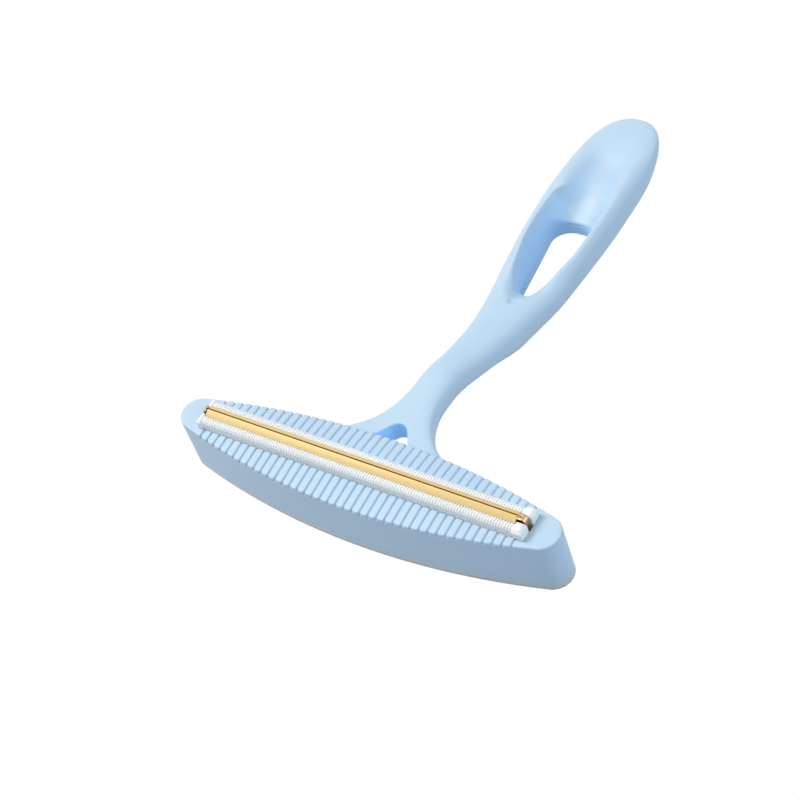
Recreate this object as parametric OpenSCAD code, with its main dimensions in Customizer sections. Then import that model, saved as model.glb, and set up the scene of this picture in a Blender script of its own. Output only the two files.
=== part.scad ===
// Sweater comb: a ribbed shaving head with a drop-in blade cartridge on one face,
// a lint pad on the other, and a two-shell handle.
// X runs along the head, Y points to the handle's tip, Z points out of the ribbed face.
// The origin is the centre of the lint pad's lower face.

/* [Head] */
// Length of the head, tip to tip
head_l = 130; // [122:1:160]
// Width of the head at its middle
head_w = 26.5; // [25:0.5:34]
// Height from the pad's lower face to the crown of the ribbed face
head_h = 19.2; // [17:0.2:26]
// Radius of the curve along each long side, seen from above
side_r = 245; // [235:5:300]
// Radius of the crown across the ribbed face
crown_r = 90; // [70:5:160]
// Wall thickness of the head
wall = 2.2; // [1.6:0.1:2.6]
// Thickness of the ribbed face over the hollow
face_t = 2.6; // [2.2:0.1:3.2]
// Wall round each post's bore
boss_wall = 1.3; // [1:0.1:1.6]

/* [Ribs] */
// Distance from one groove to the next
rib_pitch = 2.75; // [2.4:0.05:3]
// Number of grooves along the face
groove_n = 40; // [20:2:40]
// Width of a groove
groove_w = 0.75; // [0.5:0.05:1]
// Depth of a groove
groove_d = 0.5; // [0.4:0.1:1.2]

/* [Lint pad and plate] */
// Thickness of the lint pad
pad_t = 1.0; // [0.8:0.1:2]
// Thickness of the adhesive sheet let into the plate
adhesive_t = 0.3; // [0.2:0.05:0.4]
// Thickness of the plate that closes the head
plate_t = 0.9; // [0.8:0.1:1.6]
// Height of the locating rim on the plate
rim_h = 2; // [1:0.5:4]
// Thickness of the locating rim
rim_t = 1.4; // [1:0.1:2]
// Radius of each locating post on the plate
post_r = 1.3; // [1:0.1:1.5]
// Height of each locating post
post_h = 8; // [5:1:10]
// Distance of the posts from the middle, along the head
post_x = 32; // [26:1:36]
// Distance of each post's axis from the inside of the head's wall
post_inset = 1.4; // [1.2:0.1:2]

/* [Cartridge] */
// Length of bare face beyond each end of the blade cartridge
cart_margin = 8.9; // [7.5:0.1:11]
// Width of the cartridge between the outer faces of its guards
cart_w = 8.9; // [8.6:0.1:10]
// Height of the guards above the crown
guard_h = 3; // [2.6:0.1:3.6]
// Width of one guard
guard_w = 2.45; // [2.2:0.05:2.7]
// Distance from one guard tooth to the next
tooth_pitch = 0.9; // [0.6:0.02:1.2]
// Depth of the gaps between the guard teeth
tooth_d = 0.35; // [0.2:0.05:0.5]
// Depth of the cartridge's seat below the crown
seat_d = 3; // [2.6:0.1:3.4]
// Thickness of the cartridge tray's floor
tray_t = 1.2; // [1:0.1:1.4]
// Thickness of the seat's floor in the head
seat_floor_t = 1.6; // [1.2:0.1:2]
// Distance of the tray's legs from the middle, along the head
leg_x = 40; // [34:1:44]
// Length of a leg along the head
leg_l = 5; // [4:0.5:7]
// Width of a leg across the head
leg_w = 4; // [3:0.2:5]
// Reach of the legs under the seat's floor
leg_reach = 2.4; // [1.6:0.2:3]
// Bevel along the outer top edge of a guard
guard_bevel = 0.8; // [0.4:0.1:1]
// Length of the right end cap along the head
cap_l = 3.2; // [2.8:0.1:4]
// Length of the left end cap along the head
left_cap_l = 1.7; // [1.6:0.1:2.4]
// How far an end cap stands outside the guards
cap_out = 0.35; // [0:0.05:0.5]
// How far an end cap stands above the guards
cap_up = 0.3; // [0:0.05:0.5]
// Chamfer on the outer top edges of an end cap
cap_chamfer = 0.9; // [0.6:0.1:1.1]
// Small bevel on the inner top edges of an end cap
cap_bevel = 0.3; // [0.1:0.05:0.4]

/* [Blades] */
// Thickness of a blade
blade_t = 0.25; // [0.2:0.05:0.4]
// Drop of a blade from its inner edge to its cutting edge
blade_drop = 1.2; // [0.9:0.05:1.4]
// Width of the slit between the two blades
slit_w = 0.54; // [0.46:0.02:0.7]
// Thickness of the sheet metal in the blade supports and clips
sheet_t = 0.4; // [0.3:0.05:0.5]
// Height of the blades' inner edges above the guards
blade_up = 1.2; // [1:0.05:1.5]
// Radius of the bend in a clip
clip_r = 1.2; // [0.8:0.1:1.5]
// Full width of a clip
clip_w = 2.1; // [1.8:0.1:2.4]
// Distance of each clip's outer face from the end of the cartridge
clip_inset = 0.6; // [0.4:0.1:0.8]
// Drop of the brass bar's top below the blades' inner edges
bar_drop = 0.3; // [0.2:0.05:0.5]

/* [Handle] */
// Distance from the head's middle to the handle's tip
reach = 162.6; // [158:0.2:180]
// Full width of the grip at its widest
grip_w = 28; // [26:0.1:30]
// Full width of the neck at its waist
waist_w = 12.2; // [12:0.1:15]
// Distance from the head's middle to the neck's waist
waist_y = 38.5; // [36:0.5:41]
// Distance from the widest place of the grip to the handle's tip
tip_l = 36.1; // [30:0.1:40]
// Radius of the flare where the neck meets the head
flare_r = 21; // [16:1:23]
// Thickness of the grip
grip_t = 12; // [11:0.2:14]
// Thickness of the neck at its waist
neck_t = 8.9; // [8:0.2:11]
// Height of the grip's top above the lint pad's face
grip_top = 6.2; // [5.6:0.2:7]
// Height of the neck's top above the lint pad's face
neck_top = 16; // [15:0.2:16.6]
// Height of the parting line, as a share of the handle's thickness
parting = 0.31; // [0.28:0.01:0.36]
// Wall thickness round the handle's hollows
handle_wall = 2.4; // [2:0.1:3]
// Radius of the pegs that join the two shells
peg_r = 1.5; // [1.2:0.1:1.8]
// Height of the pegs above the parting line
peg_h = 2.2; // [1.5:0.1:2.6]

/* [Slot and window] */
// Distance from the slot's far end to the handle's tip
slot_end = 43.4; // [42:0.2:50]
// Length of the slot
slot_l = 33; // [28:0.2:36]
// Full width of the slot at its near end
slot_w0 = 8.8; // [8:0.2:10]
// Full width of the slot at its far end
slot_w1 = 14.2; // [12:0.2:15]
// Depth of the neck window behind the head
window_d = 7; // [5:0.2:9]
// Full width of the window against the head
window_w = 13; // [9:0.2:15]

/* [Clearances] */
// Gap round the cartridge in its seat
seat_gap = 0.15; // [0.1:0.05:0.3]
// Gap between pieces that are pressed or snapped together
snap_gap = 0.1; // [0.05:0.05:0.2]
// Gap between the blades' ends and the end caps, and beside the clips
end_gap = 0.2; // [0.1:0.05:0.3]
// Gap between the brass bar and each blade
bar_gap = 0.08; // [0.04:0.02:0.12]

/* [Hidden] */

shell_blue = [0.72, 0.86, 0.95];
guard_white = [0.92, 0.92, 0.92];
plate_white = [0.86, 0.86, 0.87];
blade_gold = [0.95, 0.80, 0.45];
bar_brass = [0.72, 0.50, 0.26];
steel_grey = [0.70, 0.68, 0.66];

round_fn = 96;
far = 400;
skin = 0.01;

half_l = head_l / 2;
half_w = head_w / 2;
side_cy = side_r - half_w;
// A circle of this radius closes each tip and touches both long sides
tip_r = (side_r * side_r - half_l * half_l - side_cy * side_cy) / (2 * (side_r - half_l));
tip_x = half_l - tip_r;

plate_z0 = pad_t;
plate_z1 = plate_z0 + plate_t;
post_y = half_w - post_x * post_x / (2 * side_r) - wall - post_inset;
post_bore_h = post_h + 0.5;
cart_l = head_l - 2 * cart_margin;
boss_r = post_r + boss_wall;

seat_z = head_h - seat_d;
seat_l = cart_l + 2 * seat_gap;
seat_w = cart_w + 2 * seat_gap;
leg_h = seat_floor_t + leg_reach;

tray_z1 = seat_z + tray_t;
guard_z1 = head_h + guard_h;
guard_y0 = cart_w / 2 - guard_w;
guard_x0 = left_cap_l - cart_l / 2;
guard_x1 = cart_l / 2 - cap_l;
blade_z_in = guard_z1 + blade_up;
blade_z_out = blade_z_in - blade_drop;
blade_y0 = slit_w / 2;
blade_edge_y = guard_y0 - 0.02;
blade_fall = blade_drop / (blade_edge_y - blade_y0);
clip_x1 = cart_l / 2 - clip_inset;
blade_x0 = guard_x0 + end_gap;
blade_x1 = guard_x1 - end_gap;

neck_y0 = half_w - wall + 0.2;
flare_cx = waist_w / 2 + flare_r;
flare_cy = sqrt((side_r + flare_r) * (side_r + flare_r) - flare_cx * flare_cx) - side_cy;
flare_y0 = (flare_cy + side_cy) * side_r / (side_r + flare_r) - side_cy;
grip_y = reach - tip_l;
slot_y1 = reach - slot_end;
slot_y0 = slot_y1 - slot_l;
dish_y0 = slot_y0 - 6.6;
dish_y1 = slot_y1 + 20;
thumb_y0 = slot_y1 - 4;
thumb_y1 = reach - 5;
slot_mid = (slot_y0 + slot_y1) / 2;
// The handle's hollow lies between two of the pegs
core_y0 = waist_y + 5;
core_y1 = dish_y0 - 5;
peg_y = [waist_y - 2, slot_y0 - 8.5, slot_y1 + 9];

// Smooth curve through a list of [place, value] stations, level at its ends and at each turn
function rise(s, i) = (s[i + 1][1] - s[i][1]) / (s[i + 1][0] - s[i][0]);
function slope(s, i) =
    i == 0 || i == len(s) - 1 ? 0
    : let (a = rise(s, i - 1), b = rise(s, i)) a * b <= 0 ? 0 : 2 * a * b / (a + b);
function span(s, y, i = 0) = i >= len(s) - 2 || y < s[i + 1][0] ? i : span(s, y, i + 1);
function hermite(a, b, ma, mb, h, u) =
    (2 * u * u * u - 3 * u * u + 1) * a + (u * u * u - 2 * u * u + u) * h * ma
    + (3 * u * u - 2 * u * u * u) * b + (u * u * u - u * u) * h * mb;
function curve(s, y) =
    y <= s[0][0] ? s[0][1]
    : y >= s[len(s) - 1][0] ? s[len(s) - 1][1]
    : let (i = span(s, y), h = s[i + 1][0] - s[i][0])
      hermite(s[i][1], s[i + 1][1], slope(s, i), slope(s, i + 1), h, (y - s[i][0]) / h);

// Place between the waist and the grip's widest place
function along(share) = waist_y + share * (grip_y - waist_y);

// Half width of the handle at a distance from the head
width_stations = [[waist_y, waist_w / 2], [along(0.1875), waist_w / 2 + 1],
                  [along(0.375), waist_w / 2 + 2.7], [along(0.625), grip_w / 2 - 1.9],
                  [grip_y, grip_w / 2]];
function cap_share(y) =
    y <= grip_y ? 1
    : pow(1 - pow(min((y - grip_y) / (reach - grip_y), 1), 3.2), 1 / 2.2);
function flare(y) =
    y >= flare_cy ? 0
    : flare_r - sqrt(flare_r * flare_r - pow(flare_cy - max(y, flare_y0), 2));
function half_width(y) = (curve(width_stations, y) + flare(y)) * cap_share(y);

// Top and bottom of the handle, dipping from the neck down to the grip
top_stations = [[neck_y0, neck_top], [waist_y, neck_top],
                [along(0.1875), (neck_top + grip_top) / 2 - 0.3], [along(0.375), grip_top + 1],
                [along(0.54), grip_top - 0.2], [along(0.68), grip_top + 1.2],
                [along(0.8), grip_top + 2.4], [grip_y, grip_top + 2.8],
                [along(1.125), grip_top + 2], [reach, grip_top + 0.4]];
grip_bottom = grip_top - grip_t;
neck_bottom = neck_top - neck_t;
bottom_stations = [[neck_y0, neck_bottom + 2.6], [flare_y0 + 10, neck_bottom + 2],
                   [waist_y, neck_bottom], [along(0.1875), (neck_bottom + grip_bottom) / 2 + 1.45],
                   [along(0.375), grip_bottom + 1.6], [along(0.625), grip_bottom + 0.3],
                   [along(0.8125), grip_bottom], [along(1.125), grip_bottom + 1.2],
                   [reach, grip_bottom + 6.8]];
tip_z = (curve(top_stations, reach) + curve(bottom_stations, reach)) / 2;
function handle_top(y) = tip_z + (curve(top_stations, y) - tip_z) * pow(cap_share(y), 0.8);
function handle_bottom(y) = tip_z + (curve(bottom_stations, y) - tip_z) * pow(cap_share(y), 0.8);
function parting_z(y) = handle_bottom(y) + parting * (handle_top(y) - handle_bottom(y));
// Squareness of the section: boxy beside the head, rounder along the grip
square_stations = [[neck_y0, 5], [flare_y0 + 10, 4.6], [waist_y, 2.5],
                   [along(0.1875), 2.45], [along(0.375), 2.65], [along(0.8), 2.65], [reach, 2.9]];

// One half of a handle section, above (side = 1) or below (side = -1) the parting line
arc_n = 20;
core_n = 24;
function rounded(v, n) = sign(v) * pow(abs(v), 2 / n);
function section_point(y, angle, inset = 0) =
    let (n = curve(square_stations, y),
         t = (handle_top(y) - handle_bottom(y)) / 2,
         zc = (handle_top(y) + handle_bottom(y)) / 2)
    [rounded(cos(angle), n) * (half_width(y) - inset), y, zc + rounded(sin(angle), n) * (t - inset)];
function parting_angle(y) = asin(-pow(1 - 2 * parting, curve(square_stations, y) / 2));
function half_section(y, side) =
    let (a = parting_angle(y),
         from = side > 0 ? a : 180 - a,
         sweep = side > 0 ? 180 - 2 * a : 180 + 2 * a)
    [for (i = [0:arc_n]) section_point(y, from + sweep * i / arc_n)];

// Places of the handle's sections, closer together towards the rounded tip
function ring_places(y0, y1, n) = [for (i = [0:n]) y0 + (y1 - y0) * i / n];
handle_places = concat([neck_y0], ring_places(flare_y0, flare_cy, 8), ring_places(flare_cy + 3, grip_y, 26),
                       [for (i = [1:9]) grip_y + (reach - 0.2 - grip_y) * sin(i * 10)]);

module loft(rings) {
    n = len(rings[0]);
    m = len(rings);
    polyhedron(
        points = [for (ring = rings) for (p = ring) p],
        faces = concat(
            [[for (i = [n - 1:-1:0]) i]],
            [[for (i = [0:n - 1]) (m - 1) * n + i]],
            [for (j = [0:m - 2]) for (i = [0:n - 1])
                [j * n + i, (j + 1) * n + (i + 1) % n, (j + 1) * n + i]],
            [for (j = [0:m - 2]) for (i = [0:n - 1])
                [j * n + i, j * n + (i + 1) % n, (j + 1) * n + (i + 1) % n]]));
}

module handle_half(side) {
    loft([for (y = handle_places) half_section(y, side)]);
}

module handle_core() {
    step = 360 / core_n;
    loft([for (y = ring_places(core_y0, core_y1, 6))
        [for (i = [0:core_n - 1]) section_point(y, i * step + step / 2, handle_wall)]]);
}

// Plan outline of the head: two long arcs closed by a circle at each tip
module head_outline(inset) {
    touch_x = tip_x * side_r / (side_r - tip_r);
    intersection() {
        translate([0, -side_cy]) circle(side_r - inset, $fn = 360);
        translate([0, side_cy]) circle(side_r - inset, $fn = 360);
        square([2 * touch_x, head_w], center = true);
    }
    for (s = [-1, 1])
        translate([s * tip_x, 0]) circle(tip_r - inset, $fn = round_fn);
}

module head_prism(inset, z0, z1) {
    translate([0, 0, z0]) linear_extrude(z1 - z0) head_outline(inset);
}

// Everything under the crown, down to a given depth below it
module under_crown(depth) {
    translate([-far / 2, 0, head_h - crown_r])
        rotate([0, 90, 0]) cylinder(r = crown_r - depth, h = far, $fn = 360);
}

module groove_cutters() {
    first = -(groove_n - 1) / 2 * rib_pitch;
    difference() {
        for (i = [0:groove_n - 1])
            translate([first + i * rib_pitch - groove_w / 2, -head_w, head_h - 3])
                cube([groove_w, 2 * head_w, 4]);
        under_crown(groove_d);
    }
}

module seat_box(grow, z0, z1) {
    translate([-seat_l / 2 - grow, -seat_w / 2 - grow, z0])
        cube([seat_l + 2 * grow, seat_w + 2 * grow, z1 - z0]);
}

module at_posts() {
    for (sx = [-1, 1]) for (sy = [-1, 1])
        translate([sx * post_x, sy * post_y, 0]) children();
}

module head_hollow() {
    difference() {
        intersection() {
            head_prism(wall, plate_z1 - skin, head_h);
            under_crown(face_t);
        }
        seat_box(wall / 2, seat_z - seat_floor_t, head_h);
        at_posts() translate([0, 0, plate_z1 + snap_gap]) cylinder(r = boss_r, h = head_h, $fn = round_fn);
    }
}

module leg_holes() {
    for (s = [-1, 1])
        translate([s * leg_x - leg_l / 2 - seat_gap, -leg_w / 2 - seat_gap, seat_z - seat_floor_t - 1])
            cube([leg_l + 2 * seat_gap, leg_w + 2 * seat_gap, seat_floor_t + 2]);
}

// Height of the handle's top surface at a distance x from its middle
function crest_z(y, x) =
    let (n = curve(square_stations, y),
         t = (handle_top(y) - handle_bottom(y)) / 2,
         zc = (handle_top(y) + handle_bottom(y)) / 2)
    zc + t * pow(1 - pow(x / half_width(y), n), 1 / n);

// Scoop in the top of the handle: its crest's half width and its floor's height along it
scoop_n = 14;
function scoop_section(y, half_stations, floor_stations) =
    let (c = curve(half_stations, y), f = curve(floor_stations, y), e = crest_z(y, c))
    concat([[-c, y, e + 4]],
           [for (i = [0:scoop_n]) let (u = 2 * i / scoop_n - 1) [u * c, y, f + (e - f) * pow(abs(u), 2.4)]],
           [[c, y, e + 4]]);

module scoop(half_stations, floor_stations, rings) {
    y0 = half_stations[0][0];
    y1 = half_stations[len(half_stations) - 1][0];
    loft([for (y = ring_places(y0, y1, rings)) scoop_section(y, half_stations, floor_stations)]);
}

// Deep scoop round the slot
module dish() {
    scoop([[dish_y0, 0.6], [slot_y0 - 2, 3.8], [slot_y0 + 0.4, 5], [slot_y0 + 5, 6.7], [slot_y0 + 11.2, 8.1],
           [slot_y1 - 15.2, 9.4], [slot_y1 - 7, 9.9], [slot_y1 + 3, 9.6], [slot_y1 + 6, 8.1],
           [slot_y1 + 8.5, 6], [slot_y1 + 12, 4.2], [dish_y1, 2.5]],
          [[dish_y0, grip_top - 0.7], [slot_y0, grip_top - 4.7], [slot_y0 + 7, grip_top - 8.2],
           [slot_mid + 1, grip_top - 9.8], [slot_y1 - 7, grip_top - 8.6], [slot_y1, grip_top - 6.5],
           [slot_y1 + 8, grip_top - 3.2], [slot_y1 + 15, grip_top - 0.2], [dish_y1, grip_top + 3]],
          32);
}

// Shallow hollow for the thumb, between the scoop and the tip
module thumb_hollow() {
    scoop([[thumb_y0, 3.5], [thumb_y0 + 10, 6.5], [thumb_y0 + 16, 8.8], [thumb_y1 - 14, 8.4], [thumb_y1, 3]],
          [[thumb_y0, grip_top + 1], [thumb_y0 + 14, grip_top - 1.2], [thumb_y1 - 20, grip_top - 1],
           [thumb_y1 - 10, grip_top + 0.8], [thumb_y1, grip_top + 3]],
          18);
}

module slot() {
    near_r = slot_w0 / 2;
    far_r = 6;
    translate([0, 0, -far / 4]) linear_extrude(far / 2) hull() {
        translate([0, slot_y0 + near_r]) circle(near_r, $fn = 32);
        for (s = [-1, 1])
            translate([s * (slot_w1 / 2 - far_r), slot_y1 - far_r]) circle(far_r, $fn = 32);
    }
}

module window() {
    top_r = 3;
    corner_r = 0.8;
    translate([0, 0, -far / 4]) linear_extrude(far / 2) difference() {
        hull() {
            translate([0, half_w + window_d - top_r]) circle(top_r, $fn = 32);
            for (s = [-1, 1])
                translate([s * (window_w / 2 - corner_r), half_w - 0.6]) circle(corner_r, $fn = 32);
        }
        head_outline(0);
    }
}

module pegs(grow) {
    for (y = peg_y)
        translate([0, y, parting_z(y) - 1 + grow])
            cylinder(r = peg_r + grow, h = peg_h + 1 + grow, $fn = round_fn);
}

module front_shell() {
    color(shell_blue) difference() {
        union() {
            difference() {
                intersection() {
                    head_prism(0, plate_z1, head_h + 1);
                    under_crown(0);
                }
                groove_cutters();
            }
            handle_half(1);
        }
        head_hollow();
        seat_box(0, seat_z, head_h + 1);
        leg_holes();
        at_posts() translate([0, 0, plate_z1]) cylinder(r = post_r + snap_gap, h = post_bore_h, $fn = round_fn);
        window();
        slot();
        dish();
        thumb_hollow();
        handle_core();
        pegs(snap_gap);
    }
}

module back_shell() {
    color(shell_blue) {
        difference() {
            handle_half(-1);
            head_prism(-snap_gap, -far / 8, far / 8);
            window();
            slot();
            handle_core();
        }
        pegs(0);
    }
}

module base_plate() {
    color(plate_white) {
        difference() {
            head_prism(0, plate_z0, plate_z1);
            head_prism(wall, plate_z0 - 1, plate_z0 + adhesive_t);
        }
        difference() {
            head_prism(wall + snap_gap, plate_z1, plate_z1 + rim_h);
            head_prism(wall + snap_gap + rim_t, plate_z1 - 1, plate_z1 + rim_h + 1);
            at_posts() cylinder(r = boss_r + snap_gap, h = head_h, $fn = round_fn);
        }
        at_posts() translate([0, 0, plate_z1]) cylinder(r = post_r, h = post_h, $fn = round_fn);
    }
}

module adhesive_sheet() {
    color("ivory") head_prism(wall + snap_gap, plate_z0, plate_z0 + adhesive_t);
}

module lint_pad() {
    color("whitesmoke") head_prism(0, 0, pad_t);
}

// A strip that runs along the cartridge, drawn as a [y, z] section
module strip(x0, x1, points) {
    translate([x0, 0, 0]) rotate([90, 0, 90]) linear_extrude(x1 - x0) polygon(points);
}

module cartridge_tray() {
    color(guard_white) {
        translate([guard_x0, -cart_w / 2, seat_z]) cube([guard_x1 - guard_x0, cart_w, tray_t]);
        for (s = [-1, 1])
            translate([s * leg_x - leg_l / 2, -leg_w / 2, seat_z - leg_h]) cube([leg_l, leg_w, leg_h]);
    }
}

// Comb outline along the guard, in the [x, z] plane
tooth_n = floor((guard_x1 - guard_x0) / tooth_pitch) - 1;
function comb_points() =
    let (x0 = (guard_x0 + guard_x1 - tooth_n * tooth_pitch) / 2, gap = tooth_pitch * 0.4)
    concat([[guard_x1, tray_z1], [guard_x0, tray_z1], [guard_x0, guard_z1]],
           [for (i = [0:tooth_n - 1]) let (x = x0 + i * tooth_pitch)
               each [[x, guard_z1], [x, guard_z1 - tooth_d], [x + gap, guard_z1 - tooth_d], [x + gap, guard_z1]]],
           [[guard_x1, guard_z1]]);

module guard() {
    intersection() {
        translate([0, cart_w / 2, 0]) rotate([90, 0, 0]) linear_extrude(guard_w) polygon(comb_points());
        strip(guard_x0, guard_x1,
              [[guard_y0, tray_z1], [cart_w / 2, tray_z1], [cart_w / 2, guard_z1 - guard_bevel],
               [cart_w / 2 - guard_bevel, guard_z1], [guard_y0, guard_z1]]);
    }
}

module front_guard() {
    color(guard_white) mirror([0, 1, 0]) guard();
}

module rear_guard() {
    color(guard_white) guard();
}

// End cap: a foot in the seat and two chamfered blocks with the clip between them
module end_cap(length) {
    x0 = cart_l / 2 - length;
    block_y0 = clip_w / 2 + end_gap;
    block_y1 = cart_w / 2 + cap_out;
    block_z1 = guard_z1 + cap_up;
    over_face = head_h + snap_gap;
    translate([x0, -cart_w / 2, seat_z]) cube([length, cart_w, tray_t]);
    for (s = [0, 1]) mirror([0, s, 0]) {
        strip(x0, cart_l / 2, [[block_y0, seat_z], [cart_w / 2, seat_z], [cart_w / 2, block_z1 - cap_chamfer],
                               [block_y0, block_z1 - cap_chamfer]]);
        intersection() {
            strip(x0, cart_l / 2, [[block_y0, over_face], [block_y1, over_face], [block_y1, block_z1 - cap_chamfer],
                                   [block_y1 - cap_chamfer, block_z1], [block_y0 + cap_bevel, block_z1],
                                   [block_y0, block_z1 - cap_bevel]]);
            translate([0, block_y1 + 1, 0]) rotate([90, 0, 0]) linear_extrude(cart_w)
                polygon([[x0, over_face], [cart_l / 2, over_face], [cart_l / 2, block_z1 - cap_chamfer],
                         [cart_l / 2 - cap_chamfer, block_z1], [x0 + cap_bevel, block_z1],
                         [x0, block_z1 - cap_bevel]]);
        }
    }
}

module left_end_cap() {
    color(guard_white) mirror([1, 0, 0]) end_cap(left_cap_l);
}

module right_end_cap() {
    color(guard_white) end_cap(cap_l);
}

module centre_bar() {
    bar_y = slit_w / 2 - bar_gap;
    low_z = blade_z_in - bar_drop;
    color(bar_brass) {
        strip(blade_x0, blade_x1, [[-bar_y, tray_z1], [bar_y, tray_z1], [bar_y, low_z], [-bar_y, low_z]]);
        strip(blade_x1, clip_x1 - clip_r, [[-bar_y, tray_z1], [bar_y, tray_z1], [bar_y, blade_z_in],
                                           [-bar_y, blade_z_in]]);
    }
}

// Bent sheet under a blade: a foot beside the centre bar and a shelf along the blade
module blade_support() {
    y1 = guard_y0 - 0.25;
    z_in = blade_z_in - blade_t;
    strip(blade_x0, blade_x1,
          [[blade_y0, tray_z1], [blade_y0 + sheet_t, tray_z1],
           [blade_y0 + sheet_t, z_in - sheet_t - blade_fall * sheet_t],
           [y1, z_in - sheet_t - blade_fall * (y1 - blade_y0)],
           [y1, z_in - blade_fall * (y1 - blade_y0)], [blade_y0, z_in]]);
}

module front_blade_support() {
    color(steel_grey) mirror([0, 1, 0]) blade_support();
}

module rear_blade_support() {
    color(steel_grey) blade_support();
}

module blade() {
    edge_t = 0.05;
    bevel_y = blade_edge_y - 0.5;
    strip(blade_x0, blade_x1,
          [[blade_y0, blade_z_in - blade_t], [blade_edge_y, blade_z_out - blade_t],
           [blade_edge_y, blade_z_out - blade_t + edge_t],
           [bevel_y, blade_z_in - blade_fall * (bevel_y - blade_y0)], [blade_y0, blade_z_in]]);
}

module front_blade() {
    color(blade_gold) mirror([0, 1, 0]) blade();
}

module rear_blade() {
    color(blade_gold) blade();
}

// Clip: a band of sheet bent down over the end of the cartridge, slit where the bar passes
module clip(length) {
    x0 = clip_x1 - length;
    bend_r = min(clip_r, length - 0.2);
    bend_x = clip_x1 - bend_r;
    bend_z = blade_z_in - bend_r;
    difference() {
        translate([0, clip_w / 2, 0]) rotate([90, 0, 0]) linear_extrude(clip_w) {
            translate([x0, blade_z_in - sheet_t]) square([bend_x - x0, sheet_t]);
            translate([clip_x1 - sheet_t, tray_z1]) square([sheet_t, bend_z - tray_z1]);
            translate([bend_x, bend_z]) intersection() {
                difference() {
                    circle(bend_r, $fn = round_fn);
                    circle(bend_r - sheet_t, $fn = round_fn);
                }
                square(bend_r);
            }
        }
        translate([x0 - 1, -slit_w / 2, bend_z]) cube([bend_x - x0 + 1, slit_w, 2 * clip_r]);
    }
}

module right_clip() {
    color(steel_grey) clip(cap_l - clip_inset);
}

module left_clip() {
    color(steel_grey) mirror([1, 0, 0]) clip(left_cap_l - clip_inset);
}

front_shell();
back_shell();
base_plate();
adhesive_sheet();
lint_pad();
cartridge_tray();
front_guard();
rear_guard();
left_end_cap();
right_end_cap();
centre_bar();
front_blade_support();
rear_blade_support();
front_blade();
rear_blade();
left_clip();
right_clip();
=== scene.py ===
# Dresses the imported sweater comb: finished meshes and materials, plain studio light, the photo's camera.
import math

import bmesh
import bpy
import numpy as np
from mathutils import Matrix, Vector


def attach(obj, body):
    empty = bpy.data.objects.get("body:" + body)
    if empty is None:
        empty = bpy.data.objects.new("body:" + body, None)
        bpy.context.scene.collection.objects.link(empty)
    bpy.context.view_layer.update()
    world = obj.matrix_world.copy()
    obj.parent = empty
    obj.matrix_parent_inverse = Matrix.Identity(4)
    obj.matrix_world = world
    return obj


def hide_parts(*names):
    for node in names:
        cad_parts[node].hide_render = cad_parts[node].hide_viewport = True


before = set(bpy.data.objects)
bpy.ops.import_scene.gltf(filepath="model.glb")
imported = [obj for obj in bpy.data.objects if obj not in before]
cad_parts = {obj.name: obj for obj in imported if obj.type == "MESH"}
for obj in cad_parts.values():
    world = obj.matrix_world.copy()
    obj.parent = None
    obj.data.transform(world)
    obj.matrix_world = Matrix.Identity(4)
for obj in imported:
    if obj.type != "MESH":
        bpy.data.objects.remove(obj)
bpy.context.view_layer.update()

MM = 0.001

# Sizes of the head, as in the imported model, in millimetres
HEAD_HALF_L = 65.0
HEAD_HALF_W = 13.25
HEAD_H = 19.2
SIDE_R = 245.0
CROWN_R = 90.0
SHELL_Z0 = 1.9
RIB_PITCH = 2.75
GROOVE_N = 40
GROOVE_D = 0.5
SEAT_HALF_L = 56.25
SEAT_HALF_W = 4.6
SEAT_Z = 16.2
SEAT_FLOOR_T = 1.6
LEG_X = 40.0
LEG_HOLE = (5.3, 4.3)

# Sizes of the handle
REACH = 162.6
GRIP_W = 28.0
WAIST_W = 12.2
FLARE_R = 21.0
GRIP_T = 12.0
NECK_T = 8.9
GRIP_TOP = 6.2
NECK_TOP = 16.0
PARTING = 0.31
NECK_Y0 = 11.25
WAIST_Y = 38.5
GRIP_Y = 126.5
SLOT_Y0 = 86.2
SLOT_Y1 = 119.2
SLOT_NEAR_R = 4.4
SLOT_FAR_R = 6.0
SLOT_HALF_W1 = 7.1
WINDOW_TOP_R = 3.0
WINDOW_CORNER_R = 0.8
WINDOW_HALF_W = 6.5
WINDOW_D = 7.0

SIDE_CY = SIDE_R - HEAD_HALF_W
TIP_R = (SIDE_R ** 2 - HEAD_HALF_L ** 2 - SIDE_CY ** 2) / (2 * (SIDE_R - HEAD_HALF_L))
TIP_X = HEAD_HALF_L - TIP_R
FLARE_CX = WAIST_W / 2 + FLARE_R
FLARE_CY = math.sqrt((SIDE_R + FLARE_R) ** 2 - FLARE_CX ** 2) - SIDE_CY
FLARE_Y0 = (FLARE_CY + SIDE_CY) * SIDE_R / (SIDE_R + FLARE_R) - SIDE_CY

# Cartridge
GUARD_X0 = -54.4
GUARD_X1 = 52.9
GUARD_Z1 = 22.2
GUARD_Y0 = 2.0
GUARD_Y1 = 4.45
GUARD_BEVEL = 0.8
TRAY_Z1 = 17.4
TOOTH_PITCH = 0.9
TOOTH_D = 0.35


def srgb(red, green, blue):
    """Linear colour of an sRGB triple from 0 to 255."""
    def linear(value):
        value /= 255
        return value / 12.92 if value <= 0.04045 else ((value + 0.055) / 1.055) ** 2.4
    return linear(red), linear(green), linear(blue), 1.0


# Materials

def new_material(name, color, roughness, metallic=0.0):
    """A principled material and its node tree, with the constants set on the shader's own sockets."""
    material = bpy.data.materials.new(name)
    material.use_nodes = True
    tree = material.node_tree
    shader = tree.nodes["Principled BSDF"]
    shader.inputs["Base Color"].default_value = color
    shader.inputs["Roughness"].default_value = roughness
    shader.inputs["Metallic"].default_value = metallic
    return material, tree, shader


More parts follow.
